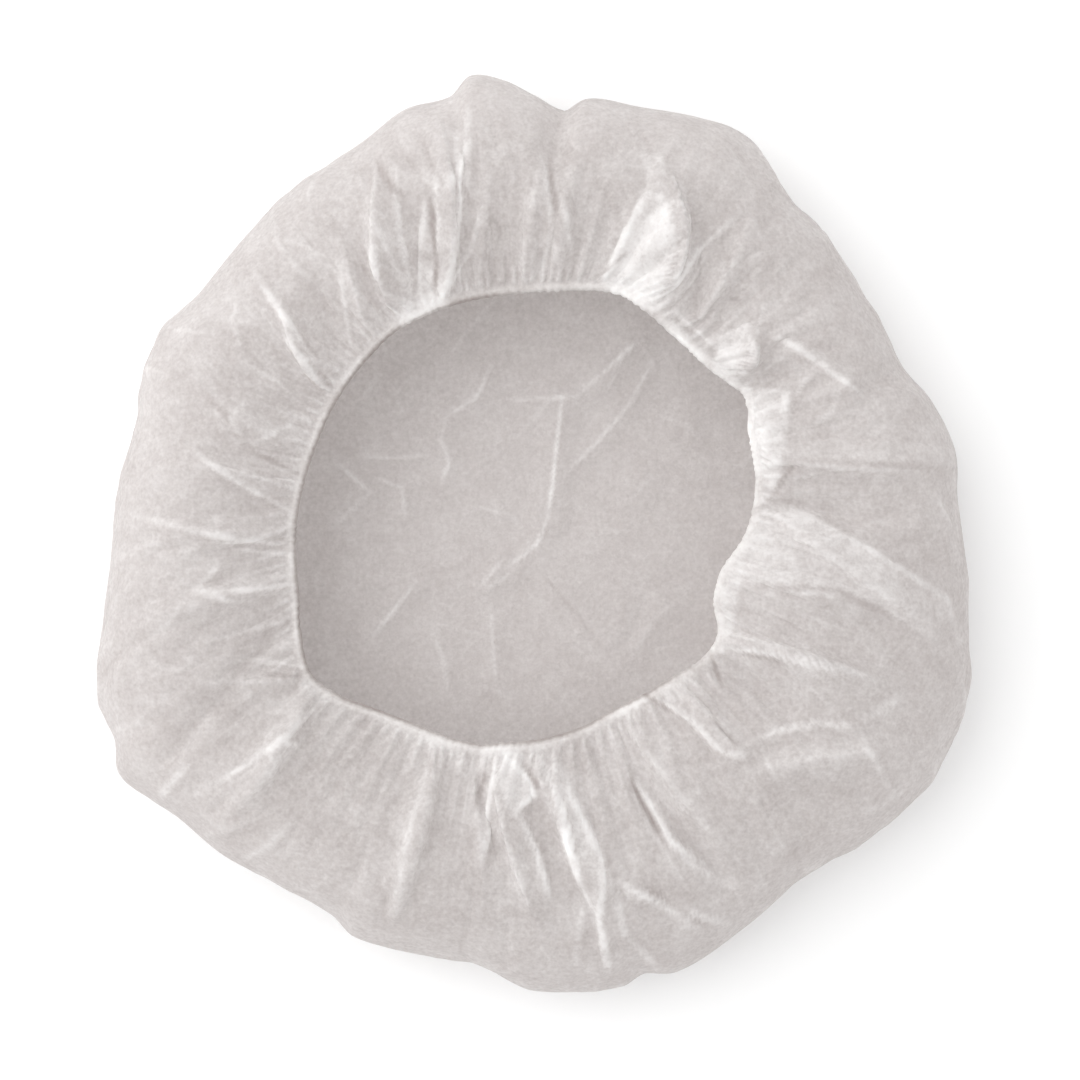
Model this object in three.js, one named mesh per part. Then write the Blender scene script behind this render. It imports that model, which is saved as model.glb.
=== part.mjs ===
// A disposable hair cover cap: one disc of sheer nonwoven fabric, puffed out and drawn in again by an elastic
// cord that runs in the turned hem round the head opening. The cap lies on its crown with the opening up.
// Millimetres, +Z up. The origin lies on the surface under the middle of the cap. Seen from above, directions
// are in degrees counter-clockwise from +X.

import * as THREE from "three";
import { mergeVertices } from "three/addons/utils/BufferGeometryUtils.js";

// Sizes. Each can be set by itself.
const CAP_RADIUS = 155; // the mean reach of the puffed edge from the middle
const CAP_HEIGHT = 54; // from the surface to the top of the puffed ring, between its folds
const OPENING_RADIUS = 79; // the mean reach of the head opening from its own middle
const OPENING_X = -3.2; // the opening's middle lies a little off the cap's
const OPENING_Y = 6.4;
const HEM_HEIGHT = 46; // from the surface to the top of the turned hem
const HEM_SWAY = 5; // how far the hem rises and dips on its way round
const WALL = 1; // the fabric
const ELASTIC_DIAMETER = 1.6;
const HEM_CLEARANCE = 0.3; // between the elastic and the hem turned round it
const FOLD_RISE = 11; // the tallest fold
const FOLD_WIDTH = 14; // half the width of the broadest fold
const GATHER_DEPTH = 0.7; // the small pleats that the elastic draws up
const GATHER_FADE = 24; // how far from the hem those pleats run out
const EDGE_SWAY = 4; // how far the widest edge rises and dips on its way round

// How finely the surfaces are cut
const HEM_PLEATS = 60;
const HEM_SIDES = 4;
const ELASTIC_SIDES = 5;

const ELASTIC_RADIUS = ELASTIC_DIAMETER / 2;
const HEM_ROLL = ELASTIC_RADIUS + HEM_CLEARANCE + WALL / 2 + GATHER_DEPTH / 2;
const HEM_POINTS = 2 * HEM_PLEATS;

// The puffed edge seen from above: reach is a share of CAP_RADIUS, in directions from the middle of the cap.
const EDGE = [
  { at: 4, reach: 0.97 },
  { at: 11, reach: 0.977 },
  { at: 18, reach: 0.955 },
  { at: 24, reach: 0.922 },
  { at: 31, reach: 0.924 },
  { at: 40, reach: 0.938 },
  { at: 47, reach: 0.956 },
  { at: 52, reach: 0.958 },
  { at: 57, reach: 0.99 },
  { at: 63, reach: 1.028 },
  { at: 68, reach: 1.02 },
  { at: 76, reach: 0.999 },
  { at: 83, reach: 0.996 },
  { at: 86, reach: 0.965 },
  { at: 90, reach: 0.997 },
  { at: 94, reach: 1.036 },
  { at: 98, reach: 1.054 },
  { at: 101, reach: 1.015 },
  { at: 107, reach: 1.012 },
  { at: 113, reach: 0.98 },
  { at: 119, reach: 0.964 },
  { at: 126, reach: 0.96 },
  { at: 133, reach: 0.948 },
  { at: 144, reach: 0.941 },
  { at: 155, reach: 0.967 },
  { at: 166, reach: 0.944 },
  { at: 174, reach: 0.957 },
  { at: 184, reach: 0.974 },
  { at: 191, reach: 1.007 },
  { at: 201, reach: 1.068 },
  { at: 206, reach: 1.068 },
  { at: 210, reach: 1.096 },
  { at: 215, reach: 1.068 },
  { at: 219, reach: 1.043 },
  { at: 226, reach: 1.026 },
  { at: 233, reach: 0.999 },
  { at: 242, reach: 0.992 },
  { at: 246, reach: 1.014 },
  { at: 258, reach: 0.997 },
  { at: 265, reach: 1.015 },
  { at: 270, reach: 1.05 },
  { at: 281, reach: 1.055 },
  { at: 284, reach: 1.04 },
  { at: 288, reach: 1.057 },
  { at: 298, reach: 1.024 },
  { at: 309, reach: 1.0 },
  { at: 318, reach: 1.042 },
  { at: 329, reach: 1.072 },
  { at: 341, reach: 1.057 },
  { at: 346, reach: 1.024 },
  { at: 356, reach: 0.989 },
];

// The head opening seen from above: reach is a share of OPENING_RADIUS, in directions from the middle of the
// opening. sway is the hem's rise there, a share of HEM_SWAY.
const RIM = [
  { at: 6, reach: 1.01, sway: 0.7 },
  { at: 19, reach: 1.035, sway: 0.4 },
  { at: 28, reach: 1.088, sway: -0.2 },
  { at: 33, reach: 1.055, sway: -0.1 },
  { at: 39, reach: 1.02, sway: 0.2 },
  { at: 51, reach: 1.01, sway: 0.6 },
  { at: 60, reach: 1.03, sway: 0.8 },
  { at: 67, reach: 1.04, sway: 0.5 },
  { at: 76, reach: 1.008, sway: 0.1 },
  { at: 85, reach: 0.975, sway: -0.2 },
  { at: 97, reach: 0.962, sway: -0.3 },
  { at: 116, reach: 0.968, sway: 0.3 },
  { at: 125, reach: 0.975, sway: 0.4 },
  { at: 136, reach: 0.965, sway: 0.1 },
  { at: 159, reach: 0.962, sway: -0.5 },
  { at: 171, reach: 0.976, sway: -0.6 },
  { at: 181, reach: 1.0, sway: -0.6 },
  { at: 191, reach: 1.025, sway: -0.7 },
  { at: 201, reach: 1.062, sway: -0.7 },
  { at: 210, reach: 1.13, sway: -0.5 },
  { at: 217, reach: 1.17, sway: -0.2 },
  { at: 225, reach: 1.135, sway: -0.3 },
  { at: 233, reach: 1.076, sway: -0.4 },
  { at: 242, reach: 1.04, sway: -0.2 },
  { at: 259, reach: 1.025, sway: 0.4 },
  { at: 266, reach: 1.0, sway: 0.5 },
  { at: 275, reach: 0.985, sway: 0.2 },
  { at: 285, reach: 0.965, sway: -0.2 },
  { at: 294, reach: 0.94, sway: -0.2 },
  { at: 303, reach: 0.943, sway: 0.1 },
  { at: 313, reach: 0.964, sway: 0.3 },
  { at: 321, reach: 0.998, sway: 0.3 },
  { at: 328, reach: 0.99, sway: 0.5 },
  { at: 335, reach: 0.905, sway: 0.9 },
  { at: 344, reach: 0.888, sway: 1.0 },
  { at: 355, reach: 0.963, sway: 0.9 },
];

// Rings of the crown, from its middle out to the widest edge. out is a share of the edge's reach, up a share
// of CAP_HEIGHT, and ripple how much of the edge's waviness the ring has.
const CROWN_RINGS = [
  { out: 0.2, up: 0, ripple: 0, points: 18 },
  { out: 0.42, up: 0, ripple: 0.2, points: 36 },
  { out: 0.6, up: 0, ripple: 0.4, points: 60 },
  { out: 0.75, up: 0.014, ripple: 0.6, points: 84 },
  { out: 0.86, up: 0.06, ripple: 0.8, points: 108 },
  { out: 0.94, up: 0.15, ripple: 0.9, points: 132 },
  { out: 0.985, up: 0.28, ripple: 1, points: 144 },
  { out: 1, up: 0.44, ripple: 1, points: 144 },
];

// Rings of the puffed top, from the widest edge in to the hem. out is the share of the way from the hem to
// the edge, up a share of CAP_HEIGHT, and hem how far the ring has come over to the hem's own height.
const TOP_RINGS = [
  { out: 0.975, up: 0.61, hem: 0, points: 144 },
  { out: 0.915, up: 0.77, hem: 0, points: 132 },
  { out: 0.82, up: 0.89, hem: 0, points: HEM_POINTS },
  { out: 0.7, up: 0.96, hem: 0, points: HEM_POINTS },
  { out: 0.57, up: 1, hem: 0.03, points: HEM_POINTS },
  { out: 0.44, up: 1, hem: 0.12, points: HEM_POINTS },
  { out: 0.32, up: 1, hem: 0.33, points: HEM_POINTS },
  { out: 0.21, up: 1, hem: 0.62, points: HEM_POINTS },
  { out: 0.12, up: 1, hem: 0.86, points: HEM_POINTS },
  { out: 0.045, up: 1, hem: 0.985, points: HEM_POINTS },
];

// The main folds of the top, round from the upper right. A fold runs from one point to another, each given
// by its direction and its share of the way out from the hem to the edge. Widths are shares of FOLD_WIDTH,
// and rise is a share of FOLD_RISE, below 0 for a furrow.
const FOLDS = [
  { at: 61, out: 0, width: 1, toAt: 70, toOut: 0.7, toWidth: 0.35, rise: 1 }, // tall flap
  { at: 47, out: 0.02, width: 0.5, toAt: 60, toOut: 0.45, toWidth: 0.4, rise: -0.45 },
  { at: 50, out: 0.1, width: 0.45, toAt: 54, toOut: 0.7, toWidth: 0.4, rise: 0.4 },
  { at: 34, out: 0, width: 0.65, toAt: 41, toOut: 0.3, toWidth: 0.5, rise: 0.75 }, // small loop
  { at: 41, out: 0.28, width: 0.4, toAt: 23, toOut: 0.7, toWidth: 0.35, rise: 0.3 },
  { at: 26, out: 0.03, width: 0.6, toAt: 3, toOut: 0.1, toWidth: 0.8, rise: 0.55 }, // overlap along the hem
  { at: 14, out: 0.08, width: 0.5, toAt: 9, toOut: 0.98, toWidth: 0.6, rise: 0.45 },
  { at: 3, out: 0.12, width: 0.5, toAt: 1, toOut: 0.75, toWidth: 0.7, rise: -0.4 },
  { at: 1, out: 0.1, width: 0.5, toAt: 346, toOut: 0.95, toWidth: 0.5, rise: 0.5 },
  { at: 347, out: 0, width: 1, toAt: 345, toOut: 0.6, toWidth: 1.1, rise: 0.5 }, // pillow over the opening
  { at: 327, out: 0, width: 0.6, toAt: 335, toOut: 0.7, toWidth: 0.5, rise: 0.65 },
  { at: 320, out: 0.06, width: 0.5, toAt: 326, toOut: 0.45, toWidth: 0.6, rise: -0.4 },
  { at: 311, out: 0.04, width: 0.45, toAt: 312, toOut: 0.5, toWidth: 0.45, rise: 0.4 }, // bent ridge
  { at: 312, out: 0.5, width: 0.45, toAt: 330, toOut: 0.85, toWidth: 0.5, rise: 0.45 },
  { at: 294, out: 0.25, width: 0.45, toAt: 299, toOut: 0.9, toWidth: 0.5, rise: -0.4 },
  { at: 297, out: 0.1, width: 0.45, toAt: 303, toOut: 0.8, toWidth: 0.5, rise: 0.35 },
  { at: 272, out: 0, width: 0.5, toAt: 284, toOut: 0.95, toWidth: 0.6, rise: 0.6 },
  { at: 264, out: 0, width: 0.55, toAt: 272, toOut: 0.75, toWidth: 0.35, rise: 0.85 }, // standing fold
  { at: 258, out: 0.05, width: 0.4, toAt: 265, toOut: 0.5, toWidth: 0.4, rise: -0.4 },
  { at: 259, out: 0.1, width: 0.35, toAt: 263, toOut: 0.65, toWidth: 0.35, rise: 0.35 },
  { at: 248, out: 0.04, width: 0.5, toAt: 250, toOut: 0.85, toWidth: 0.55, rise: 0.5 },
  { at: 218, out: 0, width: 0.5, toAt: 224, toOut: 0.85, toWidth: 0.55, rise: 0.6 }, // lower left corner
  { at: 216, out: 0.04, width: 0.4, toAt: 205, toOut: 0.55, toWidth: 0.5, rise: 0.4 },
  { at: 205, out: 0.1, width: 0.5, toAt: 213, toOut: 0.85, toWidth: 0.7, rise: -0.3 },
  { at: 196, out: 0, width: 0.4, toAt: 193, toOut: 0.8, toWidth: 0.6, rise: 0.35 },
  { at: 184, out: 0, width: 0.4, toAt: 180, toOut: 0.75, toWidth: 0.6, rise: 0.4 },
  { at: 174, out: 0, width: 0.4, toAt: 170, toOut: 0.7, toWidth: 0.55, rise: 0.4 },
  { at: 163, out: 0.05, width: 0.4, toAt: 160, toOut: 0.6, toWidth: 0.6, rise: 0.3 },
  { at: 148, out: 0, width: 0.4, toAt: 137, toOut: 0.6, toWidth: 0.45, rise: 0.6 }, // sharp straight ridge
  { at: 141, out: 0.05, width: 0.45, toAt: 131, toOut: 0.5, toWidth: 0.6, rise: -0.35 },
  { at: 131, out: 0, width: 0.4, toAt: 123, toOut: 0.6, toWidth: 0.5, rise: 0.4 },
  { at: 122, out: 0, width: 0.5, toAt: 113, toOut: 0.8, toWidth: 0.5, rise: 0.65 }, // bunched pleats
  { at: 117, out: 0.04, width: 0.35, toAt: 109, toOut: 0.55, toWidth: 0.35, rise: -0.5 },
  { at: 112, out: 0, width: 0.45, toAt: 103, toOut: 0.95, toWidth: 0.5, rise: 0.6 },
  { at: 102, out: 0, width: 0.4, toAt: 96, toOut: 0.6, toWidth: 0.6, rise: 0.3 },
  { at: 90, out: 0, width: 0.4, toAt: 88, toOut: 0.7, toWidth: 0.5, rise: 0.4 },
  { at: 82, out: 0, width: 0.4, toAt: 84, toOut: 0.55, toWidth: 0.5, rise: 0.35 },
  { at: 87, out: 0.6, width: 0.5, toAt: 86, toOut: 1, toWidth: 0.5, rise: -0.35 }, // in to the edge's notch
];

const FOLD_START = 0.16; // a fold starts part way up its swell, and runs out to nothing at its far end
const FOLD_SHARPNESS = 1.4; // how steeply it falls from its crest
const FOLD_CREST = 1.5; // 1 gives a fold a sharp crest, 2 a round one
const FOLD_AT_HEM = 0.3; // the share of its rise that is left where the elastic holds the fabric
const FOLD_HEM_FADE = 0.13; // the share of the way out over which it reaches its full rise
const EDGE_CREST = 17; // the direction where the widest edge lies highest
const HEM_TURN = { from: 90, to: 325 }; // the turned hem, from the top of its roll round by the opening

const radians = (degrees) => (degrees * Math.PI) / 180;
const mix = (a, b, share) => a + (b - a) * share;
const clamp = (share) => Math.min(1, Math.max(0, share));
const smooth = (share) => clamp(share) ** 2 * (3 - 2 * clamp(share));
const towards = (degrees) => new THREE.Vector2(Math.cos(radians(degrees)), Math.sin(radians(degrees)));
const directions = (count) => Array.from({ length: count }, (_, i) => (360 * i) / count);

// The value of one column of a table of directions, on a smooth closed curve through its rows.
function valueAt(table, column, degrees) {
  const turned = ((degrees % 360) + 360) % 360;
  const next = Math.max(0, table.findIndex((row) => row.at > turned));
  const row = (index) => table[(index + table.length) % table.length];
  const gap = (from, to) => (row(to).at - row(from).at + 360) % 360;
  const slope = (index) => (row(index + 1)[column] - row(index - 1)[column]) / gap(index - 1, index + 1);
  const span = gap(next - 1, next);
  const share = ((turned - row(next - 1).at + 360) % 360) / span;
  const start = row(next - 1)[column];
  const change = row(next)[column] - start;
  const leave = slope(next - 1) * span;
  const arrive = slope(next) * span;
  const bend = leave + arrive - 2 * change;
  return start + share * (leave + share * (change - leave - bend + share * bend));
}

// A direction's point on the edge seen from above, with only part of the edge's waviness.
const edgePoint = (degrees, ripple) =>
  towards(degrees).multiplyScalar(CAP_RADIUS * mix(1, valueAt(EDGE, "reach", degrees), ripple));

// A direction's point on the axis of the elastic, which runs inside the hem, seen from above.
function elasticPoint(degrees) {
  const reach = OPENING_RADIUS * valueAt(RIM, "reach", degrees) + HEM_ROLL + WALL / 2;
  return new THREE.Vector2(OPENING_X, OPENING_Y).addScaledVector(towards(degrees), reach);
}

const hemTop = (degrees) => HEM_HEIGHT + HEM_SWAY * valueAt(RIM, "sway", degrees);
const elasticHeight = (degrees) => hemTop(degrees) - HEM_ROLL - WALL / 2;
const topPoint = (degrees, out) => elasticPoint(degrees).lerp(edgePoint(degrees, 1), out);
const edgeSway = (degrees) => EDGE_SWAY * towards(3 * (degrees - EDGE_CREST)).x * towards(2 * degrees).x;
const pleat = (index) => (index % 2 ? -GATHER_DEPTH : GATHER_DEPTH);

const FOLD_LINES = FOLDS.map((fold) => ({
  ...fold,
  start: topPoint(fold.at, fold.out),
  end: topPoint(fold.toAt, fold.toOut),
}));

// The height that the folds add at a point of the top seen from above.
function foldRise(point, out) {
  let rise = 0;
  for (const fold of FOLD_LINES) {
    const run = fold.end.clone().sub(fold.start);
    const along = clamp(point.clone().sub(fold.start).dot(run) / run.lengthSq());
    const away = point.distanceTo(fold.start.clone().addScaledVector(run, along));
    const width = FOLD_WIDTH * mix(fold.width, fold.toWidth, along);
    const swell = Math.sin(Math.PI * mix(FOLD_START, 1, along));
    rise += fold.rise * swell * Math.exp(-FOLD_SHARPNESS * (away / width) ** FOLD_CREST);
  }
  return FOLD_RISE * rise * mix(FOLD_AT_HEM, 1, smooth(out / FOLD_HEM_FADE));
}

function crownRing(ring) {
  const lift = smooth(ring.up / CROWN_RINGS.at(-1).up);
  return directions(ring.points).map((degrees) => {
    const plan = edgePoint(degrees, ring.ripple).multiplyScalar(ring.out);
    return new THREE.Vector3(plan.x, plan.y, WALL / 2 + CAP_HEIGHT * ring.up + edgeSway(degrees) * lift);
  });
}

function topRing(ring) {
  return directions(ring.points).map((degrees, index) => {
    const plan = topPoint(degrees, ring.out);
    const fromHem = plan.distanceTo(elasticPoint(degrees));
    const puffed = CAP_HEIGHT * ring.up - WALL / 2 + edgeSway(degrees) * (1 - ring.up);
    const settled = mix(puffed, hemTop(degrees) - WALL / 2, ring.hem);
    const gathered = pleat(index) * (1 - smooth(fromHem / GATHER_FADE));
    return new THREE.Vector3(plan.x, plan.y, settled + foldRise(plan, ring.out) + gathered);
  });
}

// One ring of the roll that the turned hem makes round the elastic.
function hemRing(turn) {
  return directions(HEM_POINTS).map((degrees, index) => {
    const roll = HEM_ROLL + pleat(index) / 2;
    const plan = elasticPoint(degrees).addScaledVector(towards(degrees), roll * Math.cos(turn));
    return new THREE.Vector3(plan.x, plan.y, elasticHeight(degrees) + roll * Math.sin(turn));
  });
}

// The fabric's rings, from the middle of the crown to the free edge of the turned hem.
function fabricRings() {
  const turnAt = (side) => radians(mix(HEM_TURN.from, HEM_TURN.to, side / HEM_SIDES));
  return [
    [new THREE.Vector3(0, 0, WALL / 2)],
    ...CROWN_RINGS.map(crownRing),
    ...TOP_RINGS.map(topRing),
    ...Array.from({ length: HEM_SIDES + 1 }, (_, side) => hemRing(turnAt(side))),
  ];
}

// The triangles between two closed rings that may have different numbers of points. Each step moves on along
// whichever ring is behind.
function strip(first, second) {
  const faces = [];
  const [a, b] = [first.length, second.length];
  let [i, j] = [0, 0];
  while (i < a || j < b) {
    if (i < a && (j === b || (i + 0.5) / a < (j + 0.5) / b)) {
      faces.push([first[i % a], first[(i + 1) % a], second[j % b]]);
      i += 1;
    } else {
      faces.push([first[i % a], second[(j + 1) % b], second[j % b]]);
      j += 1;
    }
  }
  return faces;
}

// A surface through the rings, with its triangles facing out of the cap.
function surfaceThrough(rings) {
  let count = 0;
  const numbers = rings.map((ring) => ring.map(() => count++));
  const [middle, first] = numbers;
  const faces = first.map((point, i) => [middle[0], first[(i + 1) % first.length], point]);
  for (let k = 2; k < rings.length; k += 1) faces.push(...strip(numbers[k - 1], numbers[k]));
  return { points: rings.flat(), faces, free: numbers.at(-1) };
}

function normalsOf({ points, faces }) {
  const normals = points.map(() => new THREE.Vector3());
  const triangle = new THREE.Triangle();
  const normal = new THREE.Vector3();
  for (const face of faces) {
    triangle.set(...face.map((index) => points[index]));
    triangle.getNormal(normal).multiplyScalar(triangle.getArea());
    face.forEach((index) => normals[index].add(normal));
  }
  return normals.map((sum) => sum.normalize());
}

function meshOf(name, points, faces, material) {
  const geometry = new THREE.BufferGeometry().setFromPoints(points);
  geometry.setIndex(faces.flat());
  const merged = mergeVertices(geometry);
  merged.computeVertexNormals();
  const mesh = new THREE.Mesh(merged, material);
  mesh.name = name;
  return mesh;
}

// The fabric is the surface through the rings, with its wall to both sides, closed at the hem's free edge.
function capBody(material) {
  const { points, faces, free } = surfaceThrough(fabricRings());
  const normals = normalsOf({ points, faces });
  const offset = (distance) => points.map((point, i) => point.clone().addScaledVector(normals[i], distance));
  const behind = points.length;
  const back = faces.map(([p, q, r]) => [p + behind, r + behind, q + behind]);
  const edge = free.flatMap((point, i) => {
    const next = free[(i + 1) % free.length];
    return [
      [point, next, next + behind],
      [point, next + behind, point + behind],
    ];
  });
  const walls = [...offset(WALL / 2), ...offset(-WALL / 2)];
  return meshOf("cap_body", walls, [...faces, ...back, ...edge], material);
}

// The elastic is a cord in one closed loop, with its sections in the hem's own directions.
function elasticCord(material) {
  const sections = directions(HEM_POINTS).map((degrees) =>
    directions(ELASTIC_SIDES).map((turn) => {
      const section = towards(turn).multiplyScalar(ELASTIC_RADIUS);
      const plan = elasticPoint(degrees).addScaledVector(towards(degrees), section.x);
      return new THREE.Vector3(plan.x, plan.y, elasticHeight(degrees) + section.y);
    }),
  );
  const faces = sections.flatMap((section, i) =>
    section.flatMap((_, side) => {
      const nextSide = (side + 1) % ELASTIC_SIDES;
      const here = i * ELASTIC_SIDES;
      const ahead = ((i + 1) % HEM_POINTS) * ELASTIC_SIDES;
      return [
        [here + side, ahead + side, ahead + nextSide],
        [here + side, ahead + nextSide, here + nextSide],
      ];
    }),
  );
  return meshOf("elastic_cord", sections.flat(), faces, material);
}

const nonwoven = new THREE.MeshStandardMaterial({ color: 0xdad6d4, roughness: 0.9, metalness: 0 });
const elastic = new THREE.MeshStandardMaterial({ color: 0xe8e4e0, roughness: 0.7, metalness: 0 });

const cap = new THREE.Group();
cap.add(capBody(nonwoven), elasticCord(elastic));
const middle = new THREE.Box3().setFromObject(cap).getCenter(new THREE.Vector3());
cap.position.set(-middle.x, -middle.y, 0);

export default cap;
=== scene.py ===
"""A disposable hair cover cap of sheer spunbond nonwoven, lying on its crown, seen from straight above.

The fabric is one sheet. It starts as the part's own surface, is given back the spare length that the
gathered hem takes up, and settles into folds as cloth does. Sizes are in millimetres until a mesh is made.
"""

import bpy
import numpy as np
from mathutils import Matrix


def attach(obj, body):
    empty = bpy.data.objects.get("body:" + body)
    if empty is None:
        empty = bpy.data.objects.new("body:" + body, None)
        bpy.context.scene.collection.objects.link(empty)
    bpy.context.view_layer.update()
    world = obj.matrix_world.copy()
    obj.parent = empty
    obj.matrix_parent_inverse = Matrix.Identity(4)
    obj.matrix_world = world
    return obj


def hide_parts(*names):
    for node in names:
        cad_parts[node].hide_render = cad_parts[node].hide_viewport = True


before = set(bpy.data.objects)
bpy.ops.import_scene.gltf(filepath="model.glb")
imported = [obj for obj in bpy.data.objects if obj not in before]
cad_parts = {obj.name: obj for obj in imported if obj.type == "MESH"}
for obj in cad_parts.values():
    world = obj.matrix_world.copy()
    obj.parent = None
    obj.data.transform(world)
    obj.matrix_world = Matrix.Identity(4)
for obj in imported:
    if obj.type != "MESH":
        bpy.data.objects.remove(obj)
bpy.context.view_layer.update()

MM = 0.001
SEED = 2

# Sizes, as in the part
CAP_RADIUS = 155.0
CAP_HEIGHT = 54.0
OPENING_RADIUS = 79.0
OPENING_MIDDLE = np.array([-3.2, 6.4])
HEM_HEIGHT = 46.0
HEM_SWAY = 5.0
WALL = 1.0
ELASTIC_DIAMETER = 1.6
HEM_CLEARANCE = 0.3
FOLD_RISE = 11.0
FOLD_WIDTH = 14.0
GATHER_DEPTH = 0.7
EDGE_SWAY = 4.0
EDGE_CREST = 17.0
HEM_ROLL = ELASTIC_DIAMETER / 2 + HEM_CLEARANCE + WALL / 2 + GATHER_DEPTH / 2

DISC_DIAMETER = 530.0  # the flat disc that the cap is cut from

# The puffed edge seen from above: direction in degrees, and reach as a share of CAP_RADIUS
EDGE = [
    (4, 0.97), (11, 0.977), (18, 0.955), (24, 0.922), (31, 0.924), (40, 0.938), (47, 0.956), (52, 0.958),
    (57, 0.99), (63, 1.028), (68, 1.02), (76, 0.999), (83, 0.996), (86, 0.965), (90, 0.997), (94, 1.036),
    (98, 1.054), (101, 1.015), (107, 1.012), (113, 0.98), (119, 0.964), (126, 0.96), (133, 0.948),
    (144, 0.941), (155, 0.967), (166, 0.944), (174, 0.957), (184, 0.974), (191, 1.007), (201, 1.068),
    (206, 1.068), (210, 1.096), (215, 1.068), (219, 1.043), (226, 1.026), (233, 0.999), (242, 0.992),
    (246, 1.014), (258, 0.997), (265, 1.015), (270, 1.05), (281, 1.055), (284, 1.04), (288, 1.057),
    (298, 1.024), (309, 1.0), (318, 1.042), (329, 1.072), (341, 1.057), (346, 1.024), (356, 0.989),
]

# The head opening: direction, reach as a share of OPENING_RADIUS, and the hem's rise as a share of HEM_SWAY
RIM = [
    (6, 1.01, 0.7), (19, 1.035, 0.4), (28, 1.088, -0.2), (33, 1.055, -0.1), (39, 1.02, 0.2), (51, 1.01, 0.6),
    (60, 1.03, 0.8), (67, 1.04, 0.5), (76, 1.008, 0.1), (85, 0.975, -0.2), (97, 0.962, -0.3),
    (116, 0.968, 0.3), (125, 0.975, 0.4), (136, 0.965, 0.1), (159, 0.962, -0.5), (171, 0.976, -0.6),
    (181, 1.0, -0.6), (191, 1.025, -0.7), (201, 1.062, -0.7), (210, 1.13, -0.5), (217, 1.17, -0.2),
    (225, 1.135, -0.3), (233, 1.076, -0.4), (242, 1.04, -0.2), (259, 1.025, 0.4), (266, 1.0, 0.5),
    (275, 0.985, 0.2), (285, 0.965, -0.2), (294, 0.94, -0.2), (303, 0.943, 0.1), (313, 0.964, 0.3),
    (321, 0.998, 0.3), (328, 0.99, 0.5), (335, 0.905, 0.9), (344, 0.888, 1.0), (355, 0.963, 0.9),
]

# The cap's section. Crown: share of the edge's reach, share of CAP_HEIGHT, share of the edge's waviness.
CROWN_SECTION = [
    (0, 0, 0), (0.2, 0, 0), (0.42, 0, 0.2), (0.6, 0, 0.4), (0.75, 0.014, 0.6), (0.86, 0.06, 0.8),
    (0.94, 0.15, 0.9), (0.985, 0.28, 1), (1, 0.44, 1),
]
# Top: share of the way from hem to edge, share of CAP_HEIGHT, share of the hem's own height.
TOP_SECTION = [
    (0.975, 0.61, 0), (0.915, 0.77, 0), (0.82, 0.89, 0), (0.7, 0.96, 0), (0.57, 1, 0.03), (0.44, 1, 0.12),
    (0.32, 1, 0.33), (0.21, 1, 0.62), (0.12, 1, 0.86), (0.045, 1, 0.985),
]

# The main folds of the top: direction, share of the way out and width at the start, the same at the end,
# the rise, and how far the crest leans over, counter-clockwise, as a share of its height. Widths are shares
# of FOLD_WIDTH, rises of FOLD_RISE.
FOLDS = [
    (61, 0, 1, 70, 0.7, 0.35, 1, -1.1),
    (47, 0.02, 0.5, 60, 0.45, 0.4, -0.45, 0),
    (50, 0.1, 0.45, 54, 0.7, 0.4, 0.4, -0.4),
    (34, 0, 0.65, 41, 0.3, 0.5, 0.75, -0.9),
    (41, 0.28, 0.4, 23, 0.7, 0.35, 0.3, 0.4),
    (26, 0.03, 0.6, 3, 0.1, 0.8, 0.55, -0.6),
    (14, 0.08, 0.5, 9, 0.98, 0.6, 0.45, -0.8),
    (3, 0.12, 0.5, 1, 0.75, 0.7, -0.4, 0),
    (1, 0.1, 0.5, 346, 0.95, 0.5, 0.5, -0.6),
    (347, 0, 1, 345, 0.6, 1.1, 0.5, 0),
    (327, 0, 0.6, 335, 0.7, 0.5, 0.65, 0.6),
    (320, 0.06, 0.5, 326, 0.45, 0.6, -0.4, 0),
    (311, 0.04, 0.45, 312, 0.5, 0.45, 0.4, 0.4),
    (312, 0.5, 0.45, 330, 0.85, 0.5, 0.45, 0.5),
    (294, 0.25, 0.45, 299, 0.9, 0.5, -0.4, 0),
    (297, 0.1, 0.45, 303, 0.8, 0.5, 0.35, -0.5),
    (272, 0, 0.5, 284, 0.95, 0.6, 0.45, -0.6),
    (264, 0, 0.55, 272, 0.75, 0.35, 0.6, -0.8),
    (258, 0.05, 0.4, 265, 0.5, 0.4, -0.4, 0),
    (259, 0.1, 0.35, 263, 0.65, 0.35, 0.35, 0),
    (248, 0.04, 0.5, 250, 0.85, 0.55, 0.5, 0.6),
    (218, 0, 0.5, 224, 0.85, 0.55, 0.6, 0.5),
    (216, 0.04, 0.4, 205, 0.55, 0.5, 0.4, 0),
    (205, 0.1, 0.5, 213, 0.85, 0.7, -0.3, 0),
    (196, 0, 0.4, 193, 0.8, 0.6, 0.35, 0),
    (184, 0, 0.4, 180, 0.75, 0.6, 0.4, 0.4),
    (174, 0, 0.4, 170, 0.7, 0.55, 0.4, -0.3),
    (163, 0.05, 0.4, 160, 0.6, 0.6, 0.3, 0),
    (148, 0, 0.4, 137, 0.6, 0.45, 0.6, 0.7),
    (141, 0.05, 0.45, 131, 0.5, 0.6, -0.35, 0),
    (131, 0, 0.4, 123, 0.6, 0.5, 0.4, 0.3),
    (122, 0, 0.5, 113, 0.8, 0.5, 0.65, 0.9),
    (117, 0.04, 0.35, 109, 0.55, 0.35, -0.5, 0),
    (112, 0, 0.45, 103, 0.95, 0.5, 0.6, -0.8),
    (102, 0, 0.4, 96, 0.6, 0.6, 0.3, 0),
    (90, 0, 0.4, 88, 0.7, 0.5, 0.4, 0.3),
    (82, 0, 0.4, 84, 0.55, 0.5, 0.35, 0),
    (87, 0.6, 0.5, 86, 1, 0.5, -0.35, 0),
]
FOLD_START = 0.16
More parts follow.
